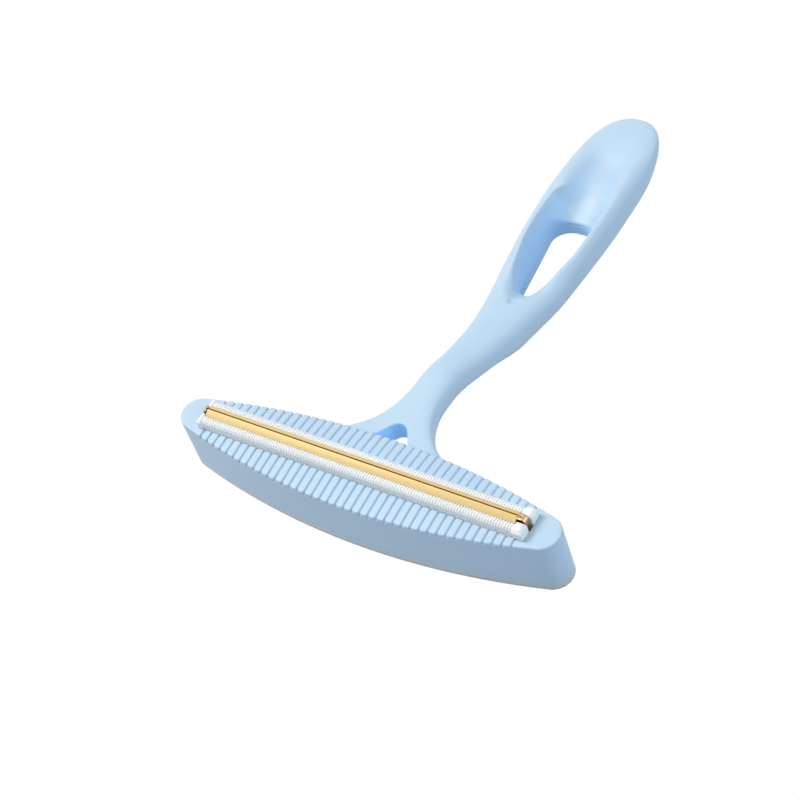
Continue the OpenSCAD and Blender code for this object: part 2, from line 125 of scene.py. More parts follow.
def add_noise(tree, scale, detail=2.0, stretch=(1.0, 1.0, 1.0)):
    """Noise in object coordinates, in cycles per metre."""
    coords = tree.nodes.new("ShaderNodeTexCoord")
    mapping = tree.nodes.new("ShaderNodeMapping")
    mapping.inputs["Scale"].default_value = stretch
    noise = tree.nodes.new("ShaderNodeTexNoise")
    noise.inputs["Scale"].default_value = scale
    noise.inputs["Detail"].default_value = detail
    tree.links.new(coords.outputs["Object"], mapping.inputs["Vector"])
    tree.links.new(mapping.outputs["Vector"], noise.inputs["Vector"])
    return noise


def vary_color(tree, shader, noise, dark, light, low=0.35, high=0.65):
    """Base colour runs between two near shades with the noise."""
    ramp = tree.nodes.new("ShaderNodeValToRGB")
    ramp.color_ramp.elements[0].position = low
    ramp.color_ramp.elements[0].color = dark
    ramp.color_ramp.elements[1].position = high
    ramp.color_ramp.elements[1].color = light
    tree.links.new(noise.outputs["Fac"], ramp.inputs["Fac"])
    tree.links.new(ramp.outputs["Color"], shader.inputs["Base Color"])


def vary_roughness(tree, shader, noise, low, high):
    """Roughness runs from low to high with the noise."""
    spread = tree.nodes.new("ShaderNodeMapRange")
    spread.inputs["To Min"].default_value = low
    spread.inputs["To Max"].default_value = high
    tree.links.new(noise.outputs["Fac"], spread.inputs["Value"])
    tree.links.new(spread.outputs["Result"], shader.inputs["Roughness"])


def add_bump(tree, shader, noise, strength, depth_mm):
    """Bump from the noise, with its depth in millimetres."""
    bump = tree.nodes.new("ShaderNodeBump")
    bump.inputs["Strength"].default_value = strength
    bump.inputs["Distance"].default_value = depth_mm * MM
    tree.links.new(noise.outputs["Fac"], bump.inputs["Height"])
    tree.links.new(bump.outputs["Normal"], shader.inputs["Normal"])


def plastic(name, dark, light, roughness, grain_mm=0.25, depth_mm=0.01):
    """Moulded plastic: faint shade changes and a fine eroded grain."""
    material, tree, shader = new_material(name, light, roughness)
    cloud = add_noise(tree, 40)
    vary_color(tree, shader, cloud, dark, light)
    vary_roughness(tree, shader, cloud, roughness - 0.04, roughness + 0.04)
    add_bump(tree, shader, add_noise(tree, 1 / (grain_mm * MM), 3.0), 0.35, depth_mm)
    return material


def metal(name, dark, light, roughness, stretch=(1.0, 12.0, 12.0)):
    """Sheet metal with a fine grain drawn along X."""
    material, tree, shader = new_material(name, light, roughness, 1.0)
    grain = add_noise(tree, 900, 4.0, stretch)
    vary_color(tree, shader, grain, dark, light)
    vary_roughness(tree, shader, grain, roughness - 0.07, roughness + 0.07)
    add_bump(tree, shader, grain, 0.15, 0.004)
    return material


SHELL_DARK = srgb(191, 215, 234)
SHELL_LIGHT = srgb(195, 218, 236)
# Painted bounce light: the bluer colour and the glow that the handle's hollows get
SHELL_PAINTED_BOUNCE = srgb(150, 202, 250)
PAINTED_GLOW_COLOR = (0.4, 0.75, 1.0, 1)
PAINTED_GLOW_STRENGTH = 0.25


def shell_material():
    """Pale blue plastic; in the hollows a bluer base colour and a faint glow are painted bounce light,
    standing in for the light that passes through and bounces inside the walls.
    """
    material = plastic("blue_plastic", SHELL_DARK, SHELL_LIGHT, 0.46)
    tree = material.node_tree
    shader = tree.nodes["Principled BSDF"]
    shade = shader.inputs["Base Color"].links[0].from_socket
    painted_bounce = tree.nodes.new("ShaderNodeAttribute")
    painted_bounce.attribute_name = "painted_bounce"
    painted_bounce_mix = tree.nodes.new("ShaderNodeMix")
    painted_bounce_mix.data_type = "RGBA"
    colors = [socket for socket in painted_bounce_mix.inputs if socket.type == "RGBA"]
    tree.links.new(painted_bounce.outputs["Fac"], painted_bounce_mix.inputs["Factor"])
    tree.links.new(shade, colors[0])
    colors[1].default_value = SHELL_PAINTED_BOUNCE
    mixed = [socket for socket in painted_bounce_mix.outputs if socket.type == "RGBA"][0]
    tree.links.new(mixed, shader.inputs["Base Color"])
    # Painted glow, growing with the square of the painted bounce share
    squared = tree.nodes.new("ShaderNodeMath")
    squared.operation = "MULTIPLY"
    painted_glow = tree.nodes.new("ShaderNodeMath")
    painted_glow.operation = "MULTIPLY"
    painted_glow.inputs[1].default_value = PAINTED_GLOW_STRENGTH
    tree.links.new(painted_bounce.outputs["Fac"], squared.inputs[0])
    tree.links.new(painted_bounce.outputs["Fac"], squared.inputs[1])
    tree.links.new(squared.outputs["Value"], painted_glow.inputs[0])
    tree.links.new(painted_glow.outputs["Value"], shader.inputs["Emission Strength"])
    shader.inputs["Emission Color"].default_value = PAINTED_GLOW_COLOR
    return material


blue_plastic = shell_material()
white_plastic = plastic("white_plastic", srgb(246, 246, 244), srgb(251, 251, 249), 0.42)
plate_plastic = plastic("plate_plastic", srgb(216, 214, 210), srgb(222, 220, 216), 0.5)
gold_metal = metal("gold_metal", srgb(230, 200, 136), srgb(238, 209, 148), 0.55)
# The blades' gold coating is matte, and only part metallic
gold_metal.node_tree.nodes["Principled BSDF"].inputs["Metallic"].default_value = 0.3
brass_metal = metal("brass_metal", srgb(170, 118, 54), srgb(196, 142, 74), 0.38)
clip_metal = metal("clip_metal", srgb(160, 134, 98), srgb(220, 196, 158), 0.3)
steel_metal = metal("steel_metal", srgb(150, 146, 140), srgb(186, 182, 176), 0.3)
film = plastic("adhesive_film", srgb(228, 220, 196), srgb(236, 230, 208), 0.55)


def velour_material():
    """Short pale pile with a nap: shade and sheen change in fine tufts."""
    material, tree, shader = new_material("lint_velour", srgb(214, 214, 213), 0.95)
    tufts = add_noise(tree, 1800, 4.0, (1.0, 0.35, 1.0))
    vary_color(tree, shader, tufts, srgb(196, 196, 195), srgb(224, 223, 220), 0.3, 0.7)
    shader.inputs["Sheen Weight"].default_value = 0.08
    shader.inputs["Sheen Roughness"].default_value = 0.5
    add_bump(tree, shader, tufts, 0.8, 0.2)
    return material


velour = velour_material()


# Mesh helpers

def new_object(name, verts, faces, material, smooth=True):
    """An object from points in millimetres."""
    mesh = bpy.data.meshes.new(name)
    points = np.asarray(verts, dtype=float) * MM
    mesh.from_pydata(points.tolist(), [], [list(map(int, face)) for face in faces])
    mesh.validate()
    mesh.update()
    if smooth:
        mesh.polygons.foreach_set("use_smooth", [True] * len(mesh.polygons))
    obj = bpy.data.objects.new(name, mesh)
    obj.data.materials.append(material)
    bpy.context.scene.collection.objects.link(obj)
    return obj


def apply_modifiers(obj):
    """Bakes the object's modifiers into its mesh."""
    graph = bpy.context.evaluated_depsgraph_get()
    mesh = bpy.data.meshes.new_from_object(obj.evaluated_get(graph))
    old = obj.data
    obj.modifiers.clear()
    obj.data = mesh
    bpy.data.meshes.remove(old)
    return obj


def cut(obj, cutter):
    """Takes the cutter's solid out of the object."""
    modifier = obj.modifiers.new("cut", "BOOLEAN")
    modifier.operation = "DIFFERENCE"
    modifier.solver = "EXACT"
    modifier.object = cutter
    apply_modifiers(obj)
    bpy.data.objects.remove(cutter)


def block(name, low, high):
    """A plain box, used only as a cutter."""
    corners = [(x, y, z) for x in (low[0], high[0]) for y in (low[1], high[1])
               for z in (low[2], high[2])]
    faces = [(0, 1, 3, 2), (4, 6, 7, 5), (0, 4, 5, 1), (2, 3, 7, 6), (0, 2, 6, 4), (1, 5, 7, 3)]
    return new_object(name, corners, faces, white_plastic, smooth=False)


def soften(obj, angle=35):
    """Smooth shading that keeps the edges sharper than the angle."""
    obj.data.polygons.foreach_set("use_smooth", [True] * len(obj.data.polygons))
    obj.data.set_sharp_from_angle(angle=math.radians(angle))


MERGE_MM = 0.002
FLAT_ANGLE = math.radians(1.0)
EDGE_ANGLE = math.radians(25)


def refined_copy(node, name, material, bevel_mm, segments=2):
    """A copy of a CAD node's solid with clean faces and rounded edges, which stands for the node."""
    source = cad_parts[node]
    work = bmesh.new()
    work.from_mesh(source.data)
    bmesh.ops.remove_doubles(work, verts=work.verts, dist=MERGE_MM * MM)
    bmesh.ops.dissolve_limit(work, angle_limit=FLAT_ANGLE, verts=work.verts, edges=work.edges)
    shared = [edge for edge in work.edges if len(edge.link_faces) == 2]
    sharp = [edge for edge in shared if edge.calc_face_angle(0) > EDGE_ANGLE]
    bmesh.ops.bevel(work, geom=sharp, offset=bevel_mm * MM, segments=segments, profile=0.5,
                    affect="EDGES", clamp_overlap=True)
    mesh = bpy.data.meshes.new(name)
    work.to_mesh(mesh)
    work.free()
    obj = bpy.data.objects.new(name, mesh)
    mesh.materials.clear()
    mesh.materials.append(material)
    bpy.context.scene.collection.objects.link(obj)
    soften(obj)
    return obj


def stands_for(piece, node, body):
    """Puts the piece in its CAD node's place and on the node's body."""
    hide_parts(node)
    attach(piece, body)


# The head: a ribbed crown over straight walls

EDGE_R = 0.55
# The flat of the top ends on arcs and circles that lie one edge radius inside the outline
INSET_R = TIP_R - EDGE_R
END_X = TIP_X + INSET_R * TIP_X / (SIDE_R - TIP_R)


def inset_half_width(x):
    """Half width of the head's top, inside its rounded edge."""
    return math.sqrt((SIDE_R - EDGE_R) ** 2 - x ** 2) - SIDE_CY


def crown_z(y):
    """Height of the head's crowned top."""
    return HEAD_H - CROWN_R + np.sqrt(CROWN_R ** 2 - np.asarray(y) ** 2)


RIB_END_R = 0.42
# Across half a groove: distance from its middle, share of its depth, share of the rib ends' recess
GROOVE_PROFILE = [(0.0, 1.0, 1.0), (0.2, 0.98, 0.98), (0.29, 0.88, 0.9),
                  (0.35, 0.6, 0.78), (0.4, 0.3, 0.62), (0.47, 0.1, 0.42),
                  (0.58, 0.02, 0.2), (0.72, 0.0, 0.06), (0.88, 0.0, 0.0)]


def head_columns():
    """Places along X with the groove's depth share and the recess share at each."""
    columns = []
    first = -(GROOVE_N - 1) / 2 * RIB_PITCH
    for i in range(GROOVE_N):
        middle = first + i * RIB_PITCH
        for away, depth, recess in reversed(GROOVE_PROFILE[1:]):
            columns.append((middle - away, depth, recess))
        for away, depth, recess in GROOVE_PROFILE:
            columns.append((middle + away, depth, recess))
        if i < GROOVE_N - 1:
            columns.append((middle + RIB_PITCH / 2, 0.0, 0.0))
    last = columns[-1][0]
    beyond = [(last + (END_X - last) * share, 0.0, 0.0) for share in (0.33, 0.66, 1.0)]
    return [(-x, depth, recess) for x, depth, recess in reversed(beyond)] + columns + beyond


HEAD_ROWS = 26
TIP_RINGS = 6
EDGE_STEPS = 5


def head_mesh():
    """Top surface as columns with a fan at each tip, then rings down the rounded edge and the wall."""
    rows = HEAD_ROWS
    spread = [math.sin(math.pi / 2 * (2 * j / rows - 1)) * 0.35 + (2 * j / rows - 1) * 0.65
              for j in range(rows + 1)]
    columns = head_columns()
    verts = []

    def place(x, y, depth):
        verts.append((x, y, float(crown_z(y)) - depth * GROOVE_D))
        return len(verts) - 1

    grid = []
    for x, depth, recess in columns:
        half = inset_half_width(x) - RIB_END_R * recess
        grid.append([place(x, share * half, depth) for share in spread])
    faces = []
    for a, b in zip(grid, grid[1:]):
        for j in range(rows):
            faces.append((a[j], b[j], b[j + 1], a[j + 1]))

    def tip_outline(side):
        """Inset outline points round a tip, in step with the rows."""
        start = math.atan2(SIDE_CY, TIP_X)
        angles = [start * (2 * j / rows - 1) for j in range(rows + 1)]
        return [(side * (TIP_X + INSET_R * math.cos(a)), INSET_R * math.sin(a)) for a in angles]

    rims = {}
    for side, column in ((1, grid[-1]), (-1, grid[0])):
        target = tip_outline(side)
        rings = [column]
        for k in range(1, TIP_RINGS + 1):
            ring = [column[0]]
            for j in range(1, rows):
                x0, y0, _ = verts[column[j]]
                u = k / TIP_RINGS
                ring.append(place(x0 + (target[j][0] - x0) * u, y0 + (target[j][1] - y0) * u, 0))
            ring.append(column[rows])
            rings.append(ring)
        for a, b in zip(rings, rings[1:]):
            for j in range(rows):
                quad = list(dict.fromkeys((a[j], b[j], b[j + 1], a[j + 1])))
                faces.append(quad if side > 0 else quad[::-1])
        rims[side] = rings[-1]

    # The rim runs along the front from left to right, round the right tip, back and round the left tip
    rim = [column[0] for column in grid] + rims[1][1:-1] + [column[rows] for column in reversed(grid)]
    rim += list(reversed(rims[-1][1:-1]))
    shares = {}
    for (x, depth, recess), column in zip(columns, grid):
        shares[column[0]] = (depth, recess)
        shares[column[rows]] = (depth, recess)

    def outward(x, y):
        """Unit vector in plan, square to the outline."""
        if abs(x) > END_X - 0.001:
            dx, dy = x - math.copysign(TIP_X, x), y
        else:
            dx, dy = x, y + math.copysign(SIDE_CY, y)
        length = math.hypot(dx, dy)
        return dx / length, dy / length

    steps = EDGE_STEPS
    rings = [rim]
    for k in range(1, steps + 5):
        ring = []
        for index in rim:
            x, y, z = verts[index]
            depth, recess = shares.get(index, (0.0, 0.0))
            nx, ny = outward(x, y)
            if k <= steps:
                angle = math.pi / 2 * k / steps
                out = EDGE_R * math.sin(angle)
                drop = EDGE_R * (1 - math.cos(angle))
            elif k == steps + 1:
                out = EDGE_R + RIB_END_R * recess * 0.7
                drop = EDGE_R + 0.08 + 0.1 * recess
            elif k == steps + 2:
                out = EDGE_R + RIB_END_R * recess
                drop = EDGE_R + 0.15 + 0.25 * recess
            elif k == steps + 3:
                out = EDGE_R + RIB_END_R * recess
                drop = EDGE_R + 0.9
            else:
                out = EDGE_R + RIB_END_R * recess
                drop = z - SHELL_Z0
            verts.append((x + nx * out, y + ny * out, z - drop))
            ring.append(len(verts) - 1)
        rings.append(ring)
    n = len(rim)
    for a, b in zip(rings, rings[1:]):
        for j in range(n):
            faces.append((a[j], b[j], b[(j + 1) % n], a[(j + 1) % n]))
    faces.append(list(reversed(rings[-1])))
    return verts, faces


# The handle: a field that is negative inside it, turned into a mesh

def curve(stations, y):
    """Smooth curve through stations of (place, value), level at its ends and at each turn."""
    places = np.array([s[0] for s in stations], float)
    values = np.array([s[1] for s in stations], float)
    slopes = np.zeros(len(values))
    rises = np.diff(values) / np.diff(places)
    for i in range(1, len(values) - 1):
        a, b = rises[i - 1], rises[i]
        slopes[i] = 2 * a * b / (a + b) if a * b > 0 else 0
    y = np.clip(y, places[0], places[-1])
    i = np.clip(np.searchsorted(places, y, side="right") - 1, 0, len(places) - 2)
    h = places[i + 1] - places[i]
    u = (y - places[i]) / h
    return ((2 * u ** 3 - 3 * u ** 2 + 1) * values[i] + (u ** 3 - 2 * u ** 2 + u) * h * slopes[i]
            + (3 * u ** 2 - 2 * u ** 3) * values[i + 1] + (u ** 3 - u ** 2) * h * slopes[i + 1])


GRIP_BOTTOM = GRIP_TOP - GRIP_T
NECK_BOTTOM = NECK_TOP - NECK_T


def along(share):
    """Place between the waist and the grip's widest place."""
    return WAIST_Y + share * (GRIP_Y - WAIST_Y)


# Stations of (place along the handle, value): half width, upper face, lower face, squareness
WIDTH = [(WAIST_Y, WAIST_W / 2), (along(0.1875), WAIST_W / 2 + 1), (along(0.375), WAIST_W / 2 + 2.7),
         (along(0.625), GRIP_W / 2 - 1.9), (GRIP_Y, GRIP_W / 2)]
TOP = [(NECK_Y0, NECK_TOP), (WAIST_Y, NECK_TOP), (along(0.1875), (NECK_TOP + GRIP_TOP) / 2 - 0.3),
       (along(0.375), GRIP_TOP + 1), (along(0.54), GRIP_TOP - 0.2), (along(0.68), GRIP_TOP + 1.2),
       (along(0.8), GRIP_TOP + 2.4), (GRIP_Y, GRIP_TOP + 2.8), (along(1.125), GRIP_TOP + 2),
       (REACH, GRIP_TOP + 0.4)]
BOTTOM = [(NECK_Y0, NECK_BOTTOM + 2.6), (FLARE_Y0 + 10, NECK_BOTTOM + 2), (WAIST_Y, NECK_BOTTOM),
          (along(0.1875), (NECK_BOTTOM + GRIP_BOTTOM) / 2 + 1.45), (along(0.375), GRIP_BOTTOM + 1.6),
          (along(0.625), GRIP_BOTTOM + 0.3), (along(0.8125), GRIP_BOTTOM),
          (along(1.125), GRIP_BOTTOM + 1.2), (REACH, GRIP_BOTTOM + 6.8)]
SQUARE = [(NECK_Y0, 5), (FLARE_Y0 + 10, 4.6), (WAIST_Y, 2.5), (along(0.1875), 2.45), (along(0.375), 2.65),
          (along(0.8), 2.65), (REACH, 2.9)]
TIP_Z = (TOP[-1][1] + BOTTOM[-1][1]) / 2


# Powers of the tip's rounding: along it, across it, and of its thickness
CAP_POWER = 3.2
CAP_ROUND = 2.2
CAP_THICK = 0.8


def cap_share(y):
    """Share of the width that is left towards the tip, from 1 at the grip's widest place to near 0."""
    past = np.clip((y - GRIP_Y) / (REACH - GRIP_Y), 0, 0.9999)
    return (1 - past ** CAP_POWER) ** (1 / CAP_ROUND)


def handle_half_width(y):
    """Half width, which flares out towards the head and closes at the tip."""
    inside = np.maximum(FLARE_R ** 2 - (FLARE_CY - np.maximum(y, FLARE_Y0)) ** 2, 0)
    flare = np.where(y >= FLARE_CY, 0, FLARE_R - np.sqrt(inside))
    return (curve(WIDTH, y) + flare) * cap_share(y)


def handle_top(y):
    """Height of the handle's upper face on its centre line."""
    return TIP_Z + (curve(TOP, y) - TIP_Z) * cap_share(y) ** CAP_THICK


def handle_bottom(y):
    """Height of the handle's lower face on its centre line."""
    return TIP_Z + (curve(BOTTOM, y) - TIP_Z) * cap_share(y) ** CAP_THICK


def parting_z(y):
    """Height of the parting line between the two halves."""
    return handle_bottom(y) + PARTING * (handle_top(y) - handle_bottom(y))


def smooth_max(a, b, k):
    """The larger of two fields, rounded over where they are closer than k."""
    h = np.maximum(k - np.abs(a - b), 0) / k
    return np.maximum(a, b) + h * h * k / 4


def smooth_min(a, b, k):
    """The smaller of two fields, rounded over where they are closer than k."""
    return -smooth_max(-a, -b, k)


def capsule(px, py, a, b, ra, rb):
    """Distance in plan to the hull of two circles."""
    bx, by = b[0] - a[0], b[1] - a[1]
    h = bx * bx + by * by
    px = px - a[0]
    py = py - a[1]
    qx = np.abs(px * by - py * bx) / h
    qy = (px * bx + py * by) / h
    step = ra - rb
    cx, cy = math.sqrt(h - step * step), step
    k = cx * qy - cy * qx
    m = cx * qx + cy * qy
    n = qx * qx + qy * qy
    return np.where(k < 0, np.sqrt(h * n) - ra,
                    np.where(k > cx, np.sqrt(h * np.maximum(n + 1 - 2 * qy, 0)) - rb, m - ra))


def box_distance(px, py, x0, x1, y0, y1):
    """Distance in plan to a rectangle."""
    dx = np.maximum(x0 - px, px - x1)
    dy = np.maximum(y0 - py, py - y1)
    return np.minimum(np.maximum(dx, dy), 0) + np.hypot(np.maximum(dx, 0), np.maximum(dy, 0))


def slot_distance(x, y):
    """Distance in plan to the handle's slot, negative inside it."""
    px = np.abs(x)
    near = (0.0, SLOT_Y0 + SLOT_NEAR_R)
    far = (SLOT_HALF_W1 - SLOT_FAR_R, SLOT_Y1 - SLOT_FAR_R)
    sides = capsule(px, y, near, far, SLOT_NEAR_R, SLOT_FAR_R)
    middle = box_distance(px, y, -far[0], far[0], near[1], SLOT_Y1)
    return np.minimum(sides, middle)


def window_distance(x, y):
    """Distance in plan to the window between head and neck, negative inside it."""
    px = np.abs(x)
    top = (0.0, HEAD_HALF_W + WINDOW_D - WINDOW_TOP_R)
    corner = (WINDOW_HALF_W - WINDOW_CORNER_R, HEAD_HALF_W - 0.6)
    sides = capsule(px, y, top, corner, WINDOW_TOP_R, WINDOW_CORNER_R)
    low = box_distance(px, y, -corner[0], corner[0], corner[1] - 2, corner[1])
    run = (y - corner[1]) / (top[1] - corner[1])
    inside = np.maximum(np.maximum(px - corner[0] * (1 - run), corner[1] - y), y - top[1])
    return np.minimum(np.minimum(sides, low), inside)


def head_distance(x, y):
    """Distance in plan outside the head's rear wall."""
    return np.hypot(x, y + SIDE_CY) - SIDE_R


# The scoop round the slot and the thumb's hollow beyond it: half width of the crest, height of the floor
SLOT_MID = (SLOT_Y0 + SLOT_Y1) / 2
DISH_Y0 = SLOT_Y0 - 6.6
DISH_Y1 = SLOT_Y1 + 20
DISH_HALF = [(DISH_Y0, 0.6), (SLOT_Y0 - 2, 3.8), (SLOT_Y0 + 0.4, 5), (SLOT_Y0 + 5, 6.7),
             (SLOT_Y0 + 11.2, 8.1), (SLOT_Y1 - 15.2, 9.4), (SLOT_Y1 - 7, 9.9), (SLOT_Y1 + 3, 9.6),
             (SLOT_Y1 + 6, 8.1), (SLOT_Y1 + 8.5, 6), (SLOT_Y1 + 12, 4.2), (DISH_Y1, 2.5)]
# The crest keeps its width on the right, where the scoop runs on into the thumb's hollow
DISH_HALF_RIGHT = DISH_HALF[:7] + [(SLOT_Y1 + 3, 10), (SLOT_Y1 + 12, 9.4), (DISH_Y1, 8)]
DISH_FLOOR = [(DISH_Y0, GRIP_TOP - 0.7), (SLOT_Y0, GRIP_TOP - 4.7), (SLOT_Y0 + 7, GRIP_TOP - 8.2),
              (SLOT_MID + 1, GRIP_TOP - 9.8), (SLOT_Y1 - 7, GRIP_TOP - 8.6), (SLOT_Y1, GRIP_TOP - 6.5),
              (SLOT_Y1 + 8, GRIP_TOP - 3.2), (SLOT_Y1 + 15, GRIP_TOP - 0.2), (DISH_Y1, GRIP_TOP + 3)]
THUMB_Y0 = SLOT_Y1 - 4
THUMB_Y1 = REACH - 5
THUMB_HALF = [(THUMB_Y0, 3.5), (THUMB_Y0 + 10, 6.5), (THUMB_Y0 + 16, 8.4), (THUMB_Y1 - 14, 8),
              (THUMB_Y1, 3)]
THUMB_FLOOR = [(THUMB_Y0, GRIP_TOP + 1), (THUMB_Y0 + 14, GRIP_TOP - 2.1), (THUMB_Y1 - 20, GRIP_TOP - 1.9),
               (THUMB_Y1 - 10, GRIP_TOP + 0.3), (THUMB_Y1, GRIP_TOP + 3)]


def section(y):
    """Half width, half thickness, middle height and squareness of the handle's section."""
    half_w = np.maximum(handle_half_width(y), 0.02)
    half_t = np.maximum((handle_top(y) - handle_bottom(y)) / 2, 0.02)
    centre = (handle_top(y) + handle_bottom(y)) / 2
    return half_w, half_t, centre, curve(SQUARE, y)


def crest_z(x, y):
    """Height of the handle's plain upper face, without scoops."""
    half_w, half_t, centre, n = section(y)
    share = np.clip(np.abs(x) / half_w, 0, 0.999)
    return centre + half_t * (1 - share ** n) ** (1 / n)


SCOOP_POWER = 2.4


def scoop_distance(x, y, z, half_stations, floor_stations):
    """Height above a scoop's surface over its steepness; past the crest the surface goes on straight."""
    past = np.maximum(half_stations[0][0] - y, 0) + np.maximum(y - half_stations[-1][0], 0)
    half = curve(half_stations, y)
    floor = curve(floor_stations, y)
    rise = np.maximum(crest_z(half, y) - floor, 0.3)
    share = np.abs(x) / half
    inner = np.minimum(share, 1)
    surface = floor + rise * (inner ** SCOOP_POWER + SCOOP_POWER * (share - inner))
    steep = rise / half * SCOOP_POWER * inner ** (SCOOP_POWER - 1)
    return (z - surface) / np.sqrt(1.05 + steep ** 2) - 1.5 * past


def body_distance(x, y, z):
    """Near distance to the plain handle, negative inside it."""
    half_w, half_t, centre, n = section(y)
    u = np.maximum(np.abs(x) / half_w, 1e-4)
    v = np.maximum(np.abs(z - centre) / half_t, 1e-4)
    g = (u ** n + v ** n) ** (1 / n)
    slope = np.hypot(u ** (n - 1) / half_w, v ** (n - 1) / half_t) * g ** (1 - n)
    return (g - 1) / slope


SLOT_RIM = 0.9
DISH_RIM = 0.7
DISH_SOFT_RIM = 2.0
DISH_START_RIM = 2.4
THUMB_RIM = 2.2
WINDOW_RIM = 0.5
NECK_FILLET = 2.2
# How far the fillet's foot lies inside the head's wall, and how deep the neck's root reaches into it
HIDDEN = 0.03
ROOT_D = 0.9
# The part of the wall that the fillet may cover: half width, lowest and highest place, reach from the wall
FILLET_HALF_W = 28
FILLET_Z0 = 5.4
FILLET_Z1 = 17.2
FILLET_REACH = 2.5


def ramp(value, low, high):
    """Smooth step from 0 at low to 1 at high."""
    u = np.clip((value - low) / (high - low), 0, 1)
    return u * u * (3 - 2 * u)


def handle_field(x, y, z):
    """Negative inside the whole handle, with its scoops, slot, window and the fillet on the head."""
    field = np.maximum(body_distance(x, y, z), y - REACH)
    softness = np.maximum(ramp(x, -1, 6), ramp(y, 126, 134))
    rim = DISH_RIM + (DISH_SOFT_RIM - DISH_RIM) * softness
    rim = rim + DISH_START_RIM * ramp(-y, -SLOT_Y0 - 8, 1 - SLOT_Y0)
    left = scoop_distance(x, y, z, DISH_HALF, DISH_FLOOR)
    right = scoop_distance(x, y, z, DISH_HALF_RIGHT, DISH_FLOOR)
    field = smooth_max(field, left + (right - left) * ramp(x, 0, 3), rim)
    field = smooth_max(field, scoop_distance(x, y, z, THUMB_HALF, THUMB_FLOOR), THUMB_RIM)
    field = smooth_max(field, -slot_distance(x, y), SLOT_RIM)
    wall = head_distance(x, y)
    field = smooth_min(field, wall + HIDDEN, NECK_FILLET)
    skin = np.maximum(np.abs(x) - FILLET_HALF_W, np.maximum(z - FILLET_Z1, FILLET_Z0 - z))
    field = np.where(wall < FILLET_REACH, np.maximum(field, skin), field)
    field = np.maximum(field, -(wall + ROOT_D))
    return smooth_max(field, -window_distance(x, y), WINDOW_RIM)


def scoop_depth(x, y, z, half_stations, floor_stations, deep):
    """Share from 0 at a scoop's crest to 1 at the given depth, only on the scoop's own surface."""
    near = ramp(-np.abs(scoop_distance(x, y, z, half_stations, floor_stations)), -1.5, -0.5)
    along_it = ramp(y, half_stations[0][0], half_stations[1][0] + 4)
    return near * along_it * ramp(crest_z(curve(half_stations, y), y) - z, 0.2, deep)


# Strengths of the painted bounce light in the scoop, the thumb's hollow and the slot, and the depths where
# it is full
DISH_PAINTED_BOUNCE = 0.45
THUMB_PAINTED_BOUNCE = 0.3
SLOT_PAINTED_BOUNCE = 0.45
DISH_DEEP = 4.5
THUMB_DEEP = 3.5
# Distances from a window wall at which the plastic opposite is looked for
LOOK_AWAY = (3.0, 6.0, 9.0)


def mark_painted_bounce(piece, verts):
    """Stores on each point its share of painted bounce light, the hollows' bluer colour and glow, put where
    light only reaches it by way of the plastic round it.
    """
    x, y, z = verts.T
    normals = np.zeros(len(verts) * 3)
    piece.data.vertices.foreach_get("normal", normals)
    normals = normals.reshape(-1, 3)
    steep = np.abs(normals[:, 0])
    dish_depth = scoop_depth(x, y, z, DISH_HALF, DISH_FLOOR, DISH_DEEP)
    # The painted bounce light goes on the walls that face sideways, like the scoop's wall in the key lamp's
    # shade
    dish = DISH_PAINTED_BOUNCE * dish_depth * ramp(steep, 0.3, 0.8)
    thumb_depth = scoop_depth(x, y, z, THUMB_HALF, THUMB_FLOOR, THUMB_DEEP)
    thumb = THUMB_PAINTED_BOUNCE * thumb_depth * ramp(steep, 0.1, 0.5)
    slot_wall = SLOT_PAINTED_BOUNCE * ramp(-slot_distance(x, y), -0.9, -0.2)
    closed = np.zeros(len(verts))
    for away in LOOK_AWAY:
        px, py, pz = (verts + normals * away).T
        closed += np.clip(1 - handle_field(px, py, pz) / away, 0, 1) / len(LOOK_AWAY)
    window = ramp(closed, 0.12, 0.75) * ramp(-window_distance(x, y), -0.8, -0.2)
    painted_bounce = np.maximum(np.maximum(dish, thumb), np.maximum(slot_wall, window))
    attribute = piece.data.attributes.new("painted_bounce", "FLOAT", "POINT")
    attribute.data.foreach_set("value", painted_bounce)


SEAM_GAP = 0.03
SEAM_ROUND = 0.3


def front_half_field(x, y, z):
    """The handle above the parting line."""
    return smooth_max(handle_field(x, y, z), parting_z(y) + SEAM_GAP - z, SEAM_ROUND)


def back_half_field(x, y, z):
    """The handle below the parting line."""
    return smooth_max(handle_field(x, y, z), z - parting_z(y) + SEAM_GAP, SEAM_ROUND)


